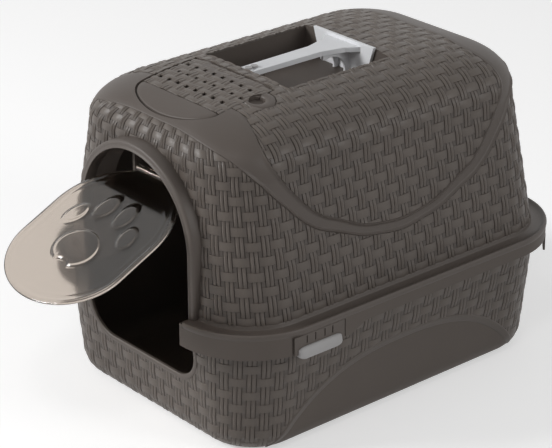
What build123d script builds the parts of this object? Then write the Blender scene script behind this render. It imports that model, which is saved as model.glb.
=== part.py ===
from build123d import *
import math
import os

os.makedirs("parts", exist_ok=True)

# Overall sizes in millimetres, +Z up, entrance towards -Y, origin under the tray
rim_half_width = 192.5
rim_half_length = 255.0
rim_radius = 95.0
ledge_z = 155.0
wall = 2.5
fit_gap = 0.3

# Hood
ledge_width = 21.0
wall_height = 153.0
shoulder_rise = 65.0
roof_flat_drop = 2.0
hood_radius = 70.0
side_slope = math.tan(math.radians(10.4))
end_slope = math.tan(math.radians(3.6))
side_curve = 2.4
end_curve = 3.2
skirt_depth = 16.0
apron_depth = 26.0
apron_run = 24.0
rear_block_width = 16.0
rear_block_height = 20.0
hood_half_width = rim_half_width - ledge_width
hood_half_length = rim_half_length - ledge_width
shoulder_z = ledge_z + wall_height
crown_z = shoulder_z + shoulder_rise
roof_z = crown_z - roof_flat_drop

# Tray
tray_inset = 15.0
tray_lean = 16.0
tray_base_radius = 60.0
tray_top_radius = 78.0
tray_foot_fillet = 25.0
flange_gap = 1.5
tray_top_half_width = rim_half_width - tray_inset
tray_top_half_length = rim_half_length - tray_inset

# Entrance
entrance_radius = 92.0
entrance_rise = 71.0
collar_width = 8.0
collar_proud = 6.0
collar_depth = 40.0
dip_depth = 81.0
dip_corner = 36.0
entrance_centre_z = ledge_z + entrance_rise
collar_front_y = -(hood_half_length + collar_proud)
collar_back_y = collar_front_y + collar_depth
dip_bottom_z = ledge_z - dip_depth

# Flap
flap_side_gap = 5.0
flap_foot_gap = 8.0
flap_axis_drop = 38.0
flap_axis_inset = 32.0
flap_tip = 68.0
flap_shoulder = 80.0
flap_thickness = 2.5
flap_open_angle = 64.5
rod_radius = 1.5
rod_clearance = 0.08
barrel_radius = 4.0
barrel_half_length = 34.0
lug_thickness = 4.0
lug_depth = 8.0
lug_foot_z = entrance_centre_z + entrance_radius - flap_axis_drop - barrel_radius
lug_top_z = entrance_centre_z + entrance_radius - 2.0
flap_half_width = entrance_radius - flap_side_gap
flap_axis_y = collar_front_y + flap_axis_inset
flap_axis_z = entrance_centre_z + entrance_radius - flap_axis_drop
flap_length = flap_axis_z - dip_bottom_z - flap_foot_gap

# Handle recess and handle
recess_half_width = 69.0
recess_length = 147.0
recess_depth = 33.0
bar_half_width = 10.0
bar_thickness = 6.0
bracket_length = 18.0
plate_half_width = 50.0
plate_foot_half_width = 38.0
plate_thickness = 4.0
plate_rise = 4.0
peg_radius = 3.0
peg_spots = (5.0, 13.0)
recess_floor_z = roof_z - recess_depth
bar_top_z = roof_z

# Filter compartment and its cover
strip_width = 15.0
cover_half_width = 66.0
grille_depth = 76.0
cover_nose = 29.0
cover_seam = 0.6
cover_thickness = 3.0
seat_margin = 3.0
grille_rows = 3
grille_columns = 8
grille_hole = 5.0
well_margin = 6.0
well_depth = 26.0
pad_thickness = 11.0
pad_gap = 1.0
notch_radius = 9.0
notch_back = 28.0
nose_setback = 29.0
cover_front_y = -hood_half_length + nose_setback + cover_nose
cover_back_y = cover_front_y + grille_depth
recess_front_y = cover_back_y + strip_width
recess_back_y = recess_front_y + recess_length
well_half_width = cover_half_width - well_margin
well_front_y = cover_front_y + well_margin
well_back_y = cover_back_y - well_margin
well_centre_y = (well_front_y + well_back_y) / 2
well_floor_z = roof_z - well_depth
notch_x = cover_half_width + 4.0
notch_y = cover_back_y - notch_back

# Side latches
latch_from_end = 109.0
latch_half_length = 35.0
latch_drop = 4.8
slit = 1.2
clip_half_length = 30.0
clip_nose_inset = 8.5
clip_lip_drop = 5.5
latch_centre_y = -(rim_half_length - latch_from_end)
apron_end_y = latch_centre_y + latch_half_length + 7.0
tab_top_z = ledge_z - latch_drop
tab_foot_z = ledge_z - apron_depth
clip_nose_x = rim_half_width - clip_nose_inset
clip_bottom_z = tab_foot_z - clip_lip_drop

# Levels that clear everything below and above the roof
under_roof_z = shoulder_z - 8.0
over_roof_z = crown_z + 7.0


def hood_half(z, inset):
    """Half width, half length and corner radius of the hood's outside at a height."""
    if z <= shoulder_z:
        a = hood_half_width - (z - ledge_z) * side_slope
        b = hood_half_length - (z - ledge_z) * end_slope
        return a - inset, b - inset, hood_radius - inset
    low_a = hood_half_width - (shoulder_z - ledge_z) * side_slope
    low_b = hood_half_length - (shoulder_z - ledge_z) * end_slope
    rise = min(0.999, (z - shoulder_z) / (crown_z - shoulder_z))
    a = low_a * (1 - rise**side_curve) ** (1 / side_curve)
    b = low_b * (1 - rise**end_curve) ** (1 / end_curve)
    r = hood_radius * (a / low_a) ** 0.6
    return a - inset, b - inset, r - inset


def hood_solid(inset, base_z):
    """The hood's outside shape as a solid, moved inwards by inset."""
    top_scale = (roof_z - inset - shoulder_z) / (roof_z - shoulder_z)
    shares = (0.0, 0.2, 0.38, 0.54, 0.68, 0.8, 0.9, 0.965, 1.0)
    with BuildPart() as body:
        for z in (base_z, shoulder_z):
            a, b, r = hood_half(z, inset)
            with BuildSketch(Plane.XY.offset(z)):
                RectangleRounded(2 * a, 2 * b, r)
        loft(ruled=True)
        for share in shares:
            z = shoulder_z + share * (roof_z - shoulder_z)
            a, b, r = hood_half(z, inset)
            with BuildSketch(Plane.XY.offset(shoulder_z + (z - shoulder_z) * top_scale)):
                RectangleRounded(2 * a, 2 * b, r)
        loft()
    return body.part


def rim_prism(inset, low, high):
    """A plain block in the plan shape of the rim."""
    with BuildPart() as body:
        with BuildSketch(Plane.XY.offset(low)):
            RectangleRounded(
                2 * (rim_half_width - inset), 2 * (rim_half_length - inset), rim_radius - inset
            )
        extrude(amount=high - low)
    return body.part


def entrance_prism(radius, low, front, back):
    """The arch of the entrance, run along Y."""
    with BuildPart() as body:
        with BuildSketch(Plane.XZ.offset(-front)):
            with Locations((0, entrance_centre_z)):
                Circle(radius)
            with Locations((0, (low + entrance_centre_z) / 2)):
                Rectangle(2 * radius, entrance_centre_z - low)
        extrude(amount=-(back - front))
    return body.part


def cover_prism(grow, low, high):
    """The D shape of the filter cover in plan, run upwards."""
    with BuildPart() as body:
        with BuildSketch(Plane.XY.offset(low)):
            with Locations((0, (cover_front_y + cover_back_y) / 2)):
                Rectangle(2 * (cover_half_width + grow), cover_back_y - cover_front_y + 2 * grow)
            with Locations((0, cover_front_y)):
                Ellipse(cover_half_width + grow, cover_nose + grow)
        extrude(amount=high - low)
    return body.part


hood_outer = hood_solid(0, ledge_z - wall)
hood_inner = hood_solid(wall, ledge_z - wall)
cover_under = hood_solid(cover_thickness, ledge_z)
seat_top = hood_solid(cover_thickness + fit_gap, ledge_z)
seat_under = hood_solid(cover_thickness + fit_gap + wall, ledge_z)

# Hood: one moulded shell with ledge, skirt, collar, filter well and handle recess
with BuildPart() as hood:
    add(hood_outer)
    add(hood_inner, mode=Mode.SUBTRACT)
    with BuildSketch(Plane.XY.offset(ledge_z - wall)):
        RectangleRounded(2 * rim_half_width, 2 * rim_half_length, rim_radius)
        a, b, r = hood_half(ledge_z, wall)
        RectangleRounded(2 * a, 2 * b, r, mode=Mode.SUBTRACT)
    extrude(amount=wall)
    # the skirt, deeper at the front
    with BuildSketch(Plane.XY.offset(ledge_z - apron_depth)):
        RectangleRounded(2 * rim_half_width, 2 * rim_half_length, rim_radius)
        RectangleRounded(
            2 * (rim_half_width - wall), 2 * (rim_half_length - wall), rim_radius - wall, mode=Mode.SUBTRACT
        )
    extrude(amount=apron_depth)
    with BuildSketch(Plane.YZ.offset(-rim_half_width - 5)):
        with BuildLine():
            Polyline(
                (apron_end_y, ledge_z - apron_depth - 1),
                (apron_end_y + apron_run, ledge_z - skirt_depth),
                (rim_half_length + 5, ledge_z - skirt_depth),
                (rim_half_length + 5, ledge_z - apron_depth - 1),
                close=True,
            )
        make_face()
    extrude(amount=2 * rim_half_width + 10, mode=Mode.SUBTRACT)
    # blocks under the skirt at the two rear corners
    for side in (-1, 1):
        corner = (rim_radius - wall / 2) * math.sin(math.radians(45))
        block_x = side * (rim_half_width - rim_radius + corner)
        block_y = rim_half_length - rim_radius + corner
        block_z = ledge_z - skirt_depth + 2 - rear_block_height / 2
        with Locations(Location((block_x, block_y, block_z), (0, 0, side * -45))):
            Box(rear_block_width, wall, rear_block_height)
    # the collar round the entrance, and the opening through it
    add(entrance_prism(entrance_radius + collar_width, ledge_z - wall, collar_front_y, collar_back_y))
    add(entrance_prism(entrance_radius, 0, -rim_half_length - 10, -190), mode=Mode.SUBTRACT)
    # lugs that hold the flap's rod
    for side in (-1, 1):
        lug_x = side * (barrel_half_length + fit_gap + lug_thickness / 2)
        with Locations((lug_x, flap_axis_y, (lug_foot_z + lug_top_z) / 2)):
            Box(lug_thickness, lug_depth, lug_top_z - lug_foot_z)
        with Locations(Location((lug_x, flap_axis_y, flap_axis_z), (0, 90, 0))):
            Cylinder(rod_radius, 3 * lug_thickness, mode=Mode.SUBTRACT)
    # the seat and the well under the filter cover
    with BuildPart(mode=Mode.PRIVATE) as seat:
        add(cover_prism(seat_margin, under_roof_z, over_roof_z))
        with Locations((notch_x, notch_y, roof_z)):
            Cylinder(notch_radius + seat_margin, 80)
        add(hood_outer, mode=Mode.INTERSECT)
        add(seat_under, mode=Mode.SUBTRACT)
    with BuildPart(mode=Mode.PRIVATE) as well:
        with Locations((0, well_centre_y, (well_floor_z - wall + over_roof_z) / 2)):
            Box(
                2 * (well_half_width + wall),
                well_back_y - well_front_y + 2 * wall,
                over_roof_z - well_floor_z + wall,
            )
        add(seat_top, mode=Mode.INTERSECT)
    with BuildPart(mode=Mode.PRIVATE) as cover_room:
        add(cover_prism(0, under_roof_z, over_roof_z))
        add(seat_top, mode=Mode.SUBTRACT)
    add(seat.part)
    add(well.part)
    add(cover_room.part, mode=Mode.SUBTRACT)
    with Locations((0, well_centre_y, (well_floor_z + over_roof_z) / 2)):
        Box(
            2 * well_half_width,
            well_back_y - well_front_y,
            over_roof_z - well_floor_z,
            mode=Mode.SUBTRACT,
        )
    with Locations((0, well_centre_y, well_floor_z)):
        with GridLocations(2 * well_half_width / 5.5, 0, 5, 1):
            Box(10, well_back_y - well_front_y - 16, 4 * wall, mode=Mode.SUBTRACT)
    # finger notch beside the cover
    with BuildPart(mode=Mode.PRIVATE) as notch:
        with Locations((notch_x, notch_y, roof_z - 3)):
            Cylinder(notch_radius, 20)
        add(seat_top, mode=Mode.SUBTRACT)
    add(notch.part, mode=Mode.SUBTRACT)
    # the handle recess
    with BuildPart(mode=Mode.PRIVATE) as recess:
        with Locations((0, recess_front_y + recess_length / 2, (recess_floor_z - wall + over_roof_z) / 2)):
            Box(
                2 * (recess_half_width + wall),
                recess_length + 2 * wall,
                over_roof_z - recess_floor_z + wall,
            )
        add(hood_outer, mode=Mode.INTERSECT)
    add(recess.part)
    with Locations((0, recess_front_y + recess_length / 2, (recess_floor_z + over_roof_z) / 2)):
        Box(
            2 * recess_half_width,
            recess_length,
            over_roof_z - recess_floor_z,
            mode=Mode.SUBTRACT,
        )
    # bracket that carries the front end of the handle
    bracket_z = (recess_floor_z + bar_top_z - bar_thickness) / 2
    with Locations((0, recess_front_y + bracket_length / 2, bracket_z)):
        Box(2 * bar_half_width + 4, bracket_length, bar_top_z - bar_thickness - recess_floor_z)
    for offset in peg_spots:
        with Locations((0, recess_front_y + offset, bar_top_z - bar_thickness - 4)):
            Cylinder(peg_radius, 8, mode=Mode.SUBTRACT)
    # windows in the skirt for the two latch tabs
    for side in (-1, 1):
        window = tab_top_z + fit_gap - tab_foot_z + 9
        with Locations((side * rim_half_width, latch_centre_y, tab_top_z + fit_gap - window / 2)):
            Box(8, 2 * (latch_half_length + slit), window, mode=Mode.SUBTRACT)
hood.part.label = "hood"
export_step(hood.part, "parts/hood.step")

# Tray: a tapered tub with a rounded foot, an outward flange and a dip for the entrance
with BuildPart() as tray:
    for z, a, b, r in (
        (0, tray_top_half_width - tray_lean, tray_top_half_length - tray_lean, tray_base_radius),
        (ledge_z - wall, tray_top_half_width, tray_top_half_length, tray_top_radius),
    ):
        with BuildSketch(Plane.XY.offset(z)):
            RectangleRounded(2 * a, 2 * b, r)
    loft(ruled=True)
    fillet(tray.faces().sort_by(Axis.Z)[0].edges(), tray_foot_fillet)
    with BuildSketch(Plane.XY.offset(ledge_z - 2 * wall)):
        RectangleRounded(
            2 * (rim_half_width - wall - flange_gap),
            2 * (rim_half_length - wall - flange_gap),
            rim_radius - wall - flange_gap,
        )
    extrude(amount=wall)
    with BuildPart(mode=Mode.PRIVATE) as tray_room:
        for z, a, b, r in (
            (wall, tray_top_half_width - tray_lean, tray_top_half_length - tray_lean, tray_base_radius),
            (ledge_z + 1, tray_top_half_width, tray_top_half_length, tray_top_radius),
        ):
            with BuildSketch(Plane.XY.offset(z)):
                RectangleRounded(2 * (a - wall), 2 * (b - wall), r - wall)
        loft(ruled=True)
        fillet(tray_room.faces().sort_by(Axis.Z)[0].edges(), tray_foot_fillet - wall)
    add(tray_room.part, mode=Mode.SUBTRACT)
    # the dip in the front wall
    with BuildSketch(Plane.XZ.offset(tray_top_half_length - 40)):
        with Locations((0, ledge_z)):
            RectangleRounded(2 * entrance_radius, 2 * dip_depth, dip_corner)
    extrude(amount=60, mode=Mode.SUBTRACT)
    # notches in the flange beside the latch clips
    for side in (-1, 1):
        with Locations((side * (clip_nose_x - fit_gap + 10), latch_centre_y, ledge_z - wall)):
            Box(20, 2 * (latch_half_length + 3), 8, mode=Mode.SUBTRACT)
tray.part.label = "tray"
export_step(tray.part, "parts/tray.step")

# Flap: a smoky clear oval panel with a barrel along its top edge, stored swung out
with BuildPart() as flap:
    with BuildSketch(Plane.XZ.offset(-(flap_axis_y - flap_thickness / 2))):
        with Locations((0, flap_axis_z - flap_shoulder)):
            Ellipse(flap_half_width, flap_shoulder)
        with Locations((0, flap_axis_z - flap_length + flap_tip)):
            Ellipse(flap_half_width, flap_tip)
        straight = flap_length - flap_tip - flap_shoulder
        with Locations((0, flap_axis_z - flap_shoulder - straight / 2)):
            Rectangle(2 * flap_half_width, straight)
        with Locations((0, flap_axis_z - 2 * barrel_radius)):
            Rectangle(2 * barrel_half_length - 8, 4 * barrel_radius)
    extrude(amount=-flap_thickness)
    with Locations(Location((0, flap_axis_y, flap_axis_z), (0, 90, 0))):
        Cylinder(barrel_radius, 2 * barrel_half_length)
        Cylinder(rod_radius + rod_clearance, 2 * barrel_half_length + 2, mode=Mode.SUBTRACT)
flap_axis = Axis((0, flap_axis_y, flap_axis_z), (1, 0, 0))
flap_open = flap.part.rotate(flap_axis, -flap_open_angle)
flap_open.label = "flap"
export_step(flap_open, "parts/flap.step")

# Rod the flap swings on
with BuildPart() as flap_rod:
    with Locations(Location((0, flap_axis_y, flap_axis_z), (0, 90, 0))):
        Cylinder(rod_radius, 2 * (barrel_half_length + fit_gap + lug_thickness))
flap_rod.part.label = "flap_rod"
export_step(flap_rod.part, "parts/flap_rod.step")

# Filter cover: a D-shaped lid that follows the roof, with a grille of square holes
with BuildPart() as filter_cover:
    add(cover_prism(-cover_seam, under_roof_z, over_roof_z))
    add(hood_outer, mode=Mode.INTERSECT)
    add(cover_under, mode=Mode.SUBTRACT)
    pitch_x = 2 * (cover_half_width - 6) / grille_columns
    pitch_y = (cover_back_y - cover_front_y) / (grille_rows + 1)
    for row in range(grille_rows):
        shift = pitch_x / 4 if row % 2 else -pitch_x / 4
        with Locations((shift, cover_front_y + (row + 1) * pitch_y, roof_z - 11)):
            with GridLocations(pitch_x, 0, grille_columns, 1):
                Box(grille_hole, grille_hole, 40, mode=Mode.SUBTRACT)
    with Locations((notch_x - 1, notch_y, roof_z - 3)):
        Cylinder(notch_radius - 1, 20, mode=Mode.SUBTRACT)
filter_cover.part.label = "filter_cover"
export_step(filter_cover.part, "parts/filter_cover.step")

# Charcoal pad lying in the well
with BuildPart() as filter_pad:
    with BuildSketch(Plane.XY.offset(well_floor_z)):
        with Locations((0, well_centre_y)):
            RectangleRounded(2 * (well_half_width - pad_gap), well_back_y - well_front_y - 2 * pad_gap, 3)
    extrude(amount=pad_thickness)
filter_pad.part.label = "filter_pad"
export_step(filter_pad.part, "parts/filter_pad.step")

# Handle: a flat bar that flares into a T-shaped end plate with two arched webs
with BuildPart() as handle:
    bar_front = recess_front_y + fit_gap
    plate_front = recess_back_y - plate_thickness
    with BuildSketch(Plane.XY.offset(bar_top_z - bar_thickness)):
        with BuildLine():
            Polyline(
                (-bar_half_width, bar_front),
                (bar_half_width, bar_front),
                (bar_half_width + 1.5, plate_front - 42),
                (bar_half_width + 9, plate_front - 14),
                (bar_half_width + 20, plate_front + 1),
                (-bar_half_width - 20, plate_front + 1),
                (-bar_half_width - 9, plate_front - 14),
                (-bar_half_width - 1.5, plate_front - 42),
                close=True,
            )
        make_face()
    extrude(amount=bar_thickness)
    with BuildSketch(Plane.XZ.offset(-plate_front)):
        with BuildLine():
            Polyline(
                (-plate_foot_half_width, recess_floor_z),
                (plate_foot_half_width, recess_floor_z),
                (plate_half_width, bar_top_z + plate_rise),
                (-plate_half_width, bar_top_z + plate_rise),
                close=True,
            )
        make_face()
    extrude(amount=-plate_thickness)
    for side in (-1, 1):
        with BuildPart(mode=Mode.PRIVATE) as web:
            with Locations((side * (bar_half_width - 1), plate_front - 19, recess_floor_z + 15)):
                Box(3, 40, 30)
            with Locations(Location((0, plate_front - 26, recess_floor_z + 2), (0, 90, 0))):
                Cylinder(20, 60, mode=Mode.SUBTRACT)
            with Locations((0, plate_front - 44, recess_floor_z + 6)):
                Box(60, 20, 30, mode=Mode.SUBTRACT)
        add(web.part)
    for offset in peg_spots:
        with Locations((0, recess_front_y + offset, bar_top_z - bar_thickness / 2)):
            Cylinder(peg_radius, 2 * bar_thickness, mode=Mode.SUBTRACT)
handle.part.label = "handle"
export_step(handle.part, "parts/handle.step")

# Two pegs that hold the front end of the handle on its bracket
with BuildPart() as handle_pegs:
    for offset in peg_spots:
        with Locations((0, recess_front_y + offset, bar_top_z - bar_thickness / 2 - 3)):
            Cylinder(peg_radius, bar_thickness + 8 - 2)
        with Locations((0, recess_front_y + offset, bar_top_z + 1)):
            Cylinder(peg_radius + 1, 2)
handle_pegs.part.label = "handle_pegs"
export_step(handle_pegs.part, "parts/handle_pegs.step")


def latch_tab(side):
    """The skirt's springy tongue between its two slits, with four hook slots."""
    with BuildPart() as tab:
        height = tab_top_z - tab_foot_z
        with Locations(
            (side * (rim_half_width - wall / 2), latch_centre_y, tab_top_z - height / 2)
        ):
            Box(wall, 2 * latch_half_length, height)
        for y in (-18.0, -6.0, 7.0, 18.0):
            with Locations((side * (rim_half_width - wall / 2), latch_centre_y + y, tab_top_z - 6.2)):
                Box(3 * wall, 1.4, 9, mode=Mode.SUBTRACT)
    return tab.part


def latch_clip(side):
    """The light lip: round the tab's lower edge, with a nose beside the tray's flange."""
    inner = rim_half_width - wall
    with BuildPart() as clip:
        with BuildSketch(Plane.XZ.offset(-(latch_centre_y - clip_half_length))):
            with BuildLine():
                Polyline(
                    (side * rim_half_width, tab_foot_z),
                    (side * rim_half_width, tab_foot_z + 8),
                    (side * (rim_half_width + 2.2), tab_foot_z + 7.5),
                    (side * (rim_half_width + 5.5), tab_foot_z - 1),
                    (side * (rim_half_width + 4.0), clip_bottom_z),
                    (side * (inner - 3), clip_bottom_z + 1),
                    (side * (inner - 3), tab_top_z - 9),
                    (side * clip_nose_x, tab_top_z - 6),
                    (side * clip_nose_x, tab_top_z - 3),
                    (side * inner, tab_top_z - 1.5),
                    (side * inner, tab_foot_z),
                    close=True,
                )
            make_face()
        extrude(amount=-2 * clip_half_length)
    return clip.part


# Latch on each long side: dark tab and light clip
tab_left = latch_tab(-1)
tab_left.label = "latch_tab_left"
export_step(tab_left, "parts/latch_tab_left.step")
tab_right = latch_tab(1)
tab_right.label = "latch_tab_right"
export_step(tab_right, "parts/latch_tab_right.step")
clip_left = latch_clip(-1)
clip_left.label = "latch_clip_left"
export_step(clip_left, "parts/latch_clip_left.step")
clip_right = latch_clip(1)
clip_right.label = "latch_clip_right"
export_step(clip_right, "parts/latch_clip_right.step")
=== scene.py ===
import math

import bmesh
import bpy
import numpy as np
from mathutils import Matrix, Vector


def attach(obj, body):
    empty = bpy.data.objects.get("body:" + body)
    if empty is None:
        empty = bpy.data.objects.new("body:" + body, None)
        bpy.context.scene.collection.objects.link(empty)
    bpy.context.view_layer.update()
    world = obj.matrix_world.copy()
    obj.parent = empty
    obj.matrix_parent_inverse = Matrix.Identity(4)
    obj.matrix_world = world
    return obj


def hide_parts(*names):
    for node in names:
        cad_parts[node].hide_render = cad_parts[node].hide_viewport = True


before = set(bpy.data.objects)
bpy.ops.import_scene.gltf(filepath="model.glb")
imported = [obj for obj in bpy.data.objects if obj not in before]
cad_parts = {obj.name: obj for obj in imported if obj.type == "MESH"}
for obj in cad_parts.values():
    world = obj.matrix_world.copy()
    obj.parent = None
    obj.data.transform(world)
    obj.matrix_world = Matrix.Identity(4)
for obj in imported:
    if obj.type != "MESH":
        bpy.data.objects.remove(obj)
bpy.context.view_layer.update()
mm = 0.001
print("frame loaded")

# The hood's outside as it was moulded, in millimetres
sideAngle, endAngle = math.radians(10.4), math.radians(3.6)
hoodShape = {
    "ledgeZ": 155.0, "shoulderZ": 308.0, "roofZ": 371.0, "crownZ": 373.0,
    "halfWidth": 171.5, "halfLength": 234.0, "radius": 70.0,
    "sideSlope": math.tan(sideAngle), "endSlope": math.tan(endAngle),
    "sideCurve": 2.4, "endCurve": 3.2,
    "panelEdge": 165.0,  # the columns at constant y end here
}


def hoodHalf(z):
    # half width, half length and corner radius at height z
    s = hoodShape
    z = np.asarray(z, float)
    up = np.minimum(z, s["shoulderZ"]) - s["ledgeZ"]
    rise = np.clip((z - s["shoulderZ"]) / (s["crownZ"] - s["shoulderZ"]), 0, 0.999)
    shareA = (1 - rise ** s["sideCurve"]) ** (1 / s["sideCurve"])
    shareB = (1 - rise ** s["endCurve"]) ** (1 / s["endCurve"])
    a = (s["halfWidth"] - up * s["sideSlope"]) * shareA
    b = (s["halfLength"] - up * s["endSlope"]) * shareB
    return a, b, s["radius"] * shareA ** 0.6


def roundedDistance(x, y, a, b, r):
    # distance from a rounded rectangle in plan, negative inside
    qx, qy = np.abs(x) - (a - r), np.abs(y) - (b - r)
    return np.hypot(np.maximum(qx, 0), np.maximum(qy, 0)) + np.minimum(np.maximum(qx, qy), 0) - r


def hoodDistance(p):
    d = roundedDistance(p[..., 0], p[..., 1], *hoodHalf(p[..., 2]))
    overRoof = p[..., 2] - hoodShape["roofZ"]
    return np.where(overRoof > 0, np.maximum(d, overRoof), d)


def surfaceNormals(points, distance, step=0.6):
    grad = np.zeros_like(points)
    for k in range(3):
        move = np.zeros(3)
        move[k] = step
        grad[..., k] = distance(points + move) - distance(points - move)
    return grad / np.maximum(np.linalg.norm(grad, axis=-1, keepdims=True), 1e-9)


# The weave: pairs of round cords one way, flat straps the other, over and under by turns
weaveShape = {
    "columnPitch": 15.0, "rowPitch": 16.3, "frontColumns": 28, "halfRows": 21,
    "ground": 0.3, "relief": 2.3,
    # across a column, as shares of it
    "slots": (0.165, 0.49, 0.825), "slotHalf": 0.02, "cords": (0.33, 0.66), "cordHalf": 0.135,
    "pairEdges": (0.18, 0.84), "strapEdges": (0.2, 0.8),
    # heights, as shares of the relief
    "gap": 0.24, "strap": 0.50, "strapArch": 0.30, "strapCrown": 0.06, "cord": 0.62, "cordArch": 0.38,
}
# a column is ground, slot, cord, slot, cord, slot, ground; a row is gap, strap, gap
columnLines = np.array([0, 0.135, 0.165, 0.195, 0.33, 0.465, 0.49, 0.52, 0.66, 0.795, 0.825, 0.855])
rowLines = np.array([0, 0.185, 0.21, 0.36, 0.5, 0.64, 0.79, 0.815])


def weaveHeight(s, t, relief):
    # s counts columns and t rows; the height is in millimetres over the plain surface
    w = weaveShape
    col, row = np.floor(s + 1e-6), np.floor(t + 1e-6)
    p, q = s - col, t - row
    inStrap = (q > w["strapEdges"][0]) & (q < w["strapEdges"][1])
    inPair = (p > w["pairEdges"][0]) & (p < w["pairEdges"][1])
    slot = np.min([np.abs(p - at) for at in w["slots"]], axis=0) < w["slotHalf"]
    across = np.abs(p - np.where(p < w["slots"][1], w["cords"][0], w["cords"][1])) / w["cordHalf"]
    cord = w["cord"] + w["cordArch"] * np.sqrt(np.clip(1 - across ** 2, 0, 1))
    over = (col + row) % 2 < 0.5  # the pair passes over the strap here
    pair = (w["cord"] + w["cordArch"] * np.cos(np.pi * (q - 0.5)) * np.where(over, 1, -1)) * cord
    strap = w["strap"] + w["strapArch"] * np.cos(np.pi * (p - 0.5)) * np.where(over, -1, 1) \
        + w["strapCrown"] * np.cos(np.pi * np.clip((q - 0.5) / 0.3, -1, 1))
    height = np.where(inStrap, strap, w["gap"])
    height = np.where(inPair & (~inStrap | over), pair, height)
    height = np.where(slot & (~inStrap | over), 0.0, height)
    return w["ground"] + relief * height


def cellLines(count, lines):
    whole = (np.arange(count)[:, None] + lines[None, :]).ravel()
    return np.append(whole, count)


def sideAt(along, a, b, r):
    # distance out to the side of a rounded rectangle, at a point along it
    over = np.clip(np.abs(along) - (b - r), 0, r)
    return a - r + np.sqrt(np.maximum(r * r - over * over, 0))


def halve(low, high, inside, steps=30):
    # finds where inside stops being true between low and high
    for _ in range(steps):
        mid = (low + high) / 2
        ok = inside(mid)
        low, high = np.where(ok, mid, low), np.where(ok, high, mid)
    return low


def hoodTopZ(y):
    # the highest level at which the plan outline still reaches y
    roof = hoodShape["roofZ"]
    if hoodHalf(roof)[1] >= abs(y):
        return roof
    return float(halve(200.0, roof, lambda z: hoodHalf(z)[1] >= abs(y), 40))


def halfProfile(y):
    # from the ledge up the wall, over the shoulder and along the roof to its middle
    s = hoodShape
    top = hoodTopZ(y)
    z = s["shoulderZ"] + (top - s["shoulderZ"]) * np.sin(np.linspace(0, math.pi / 2, 240))
    x = sideAt(y, *hoodHalf(z))
    flat = np.linspace(x[-1], 0, 60)[1:]
    return np.concatenate([x, flat]), np.concatenate([z, np.full(59, top)])


def profileRows(y, rows, wallRows):
    # points of the half profile at the row numbers
    s = hoodShape
    px, pz = halfProfile(y)
    run = runAlong(np.stack([px, pz], -1))
    share = np.clip((rows - wallRows) / (weaveShape["halfRows"] - wallRows), 0, 1)
    x, z = np.interp(share * run[-1], run, px), np.interp(share * run[-1], run, pz)
    wallZ = s["ledgeZ"] + (s["shoulderZ"] - s["ledgeZ"]) * rows / wallRows
    onWall = rows < wallRows
    z = np.where(onWall, wallZ, z)
    return np.where(onWall, sideAt(y, *hoodHalf(np.minimum(z, s["shoulderZ"]))), x), z


def runAlong(path):
    return np.concatenate([[0], np.cumsum(np.linalg.norm(np.diff(path, axis=0), axis=1))])


def quadsOf(nu, nv, start=0, closed=False):
    u = np.arange(nu if closed else nu - 1)
    i, j = np.meshgrid(u, np.arange(nv - 1), indexing="ij")
    k = (i + 1) % nu
    return start + np.stack([i * nv + j, k * nv + j, k * nv + j + 1, i * nv + j + 1], -1).reshape(-1, 4)


def buildHoodSurface():
    # quad nets whose lines follow the weave: one over sides and roof, one round each end
    w = weaveShape
    edge = hoodShape["panelEdge"]
    wallRows = (hoodShape["shoulderZ"] - hoodShape["ledgeZ"]) / math.cos(sideAngle) / w["rowPitch"]
    half = cellLines(w["halfRows"], rowLines)
    columns = int(round(2 * edge / w["columnPitch"]))
    across = cellLines(columns, columnLines)
    rows = np.concatenate([half, 2 * w["halfRows"] - half[::-1][1:]])
    band = np.zeros((len(across), len(rows), 3))
    for i, c in enumerate(across):
        y = -edge + c * w["columnPitch"]
        x, z = profileRows(y, half, wallRows)
        band[i, :, 1] = y
        band[i, :, 0] = np.concatenate([-x, x[::-1][1:]])
        band[i, :, 2] = np.concatenate([z, z[::-1][1:]])
    nets = [wovenNet(band, hoodDistance, across, rows)]
    # front and back ends, from one edge of the band round to the other
    edgeZ = profileRows(edge, half, wallRows)[1]
    topZ = hoodTopZ(edge)
    keep = edgeZ < topZ - 0.4
    levels = np.append(edgeZ[keep], topZ)
    levelRows = np.append(half[keep], half[keep][-1] + 0.3)
    endLines = cellLines(w["frontColumns"], columnLines)
    for end in (-1, 1):
        net = np.zeros((len(endLines), len(levels), 3))
        for j, z in enumerate(levels):
            a, b, r = hoodHalf(z)
            first = math.asin(min(1, max(0, (edge - (b - r)) / r)))
            sweep = np.linspace(first, math.pi / 2, 40)
            cx, cy = a - r + r * np.cos(sweep), b - r + r * np.sin(sweep)
            x = np.concatenate([cx, np.linspace(a - r, -(a - r), 60)[1:-1], -cx[::-1]])
            y = np.concatenate([cy, np.full(58, b), cy[::-1]])
            run = runAlong(np.stack([x, y], -1))
            at = run[-1] * endLines / w["frontColumns"]
            net[:, j, 0] = np.interp(at, run, x) * (-end)
            net[:, j, 1] = np.interp(at, run, y) * end
            net[:, j, 2] = z
        nets.append(wovenNet(net, hoodDistance, endLines + columns, levelRows))
    return nets


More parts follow.
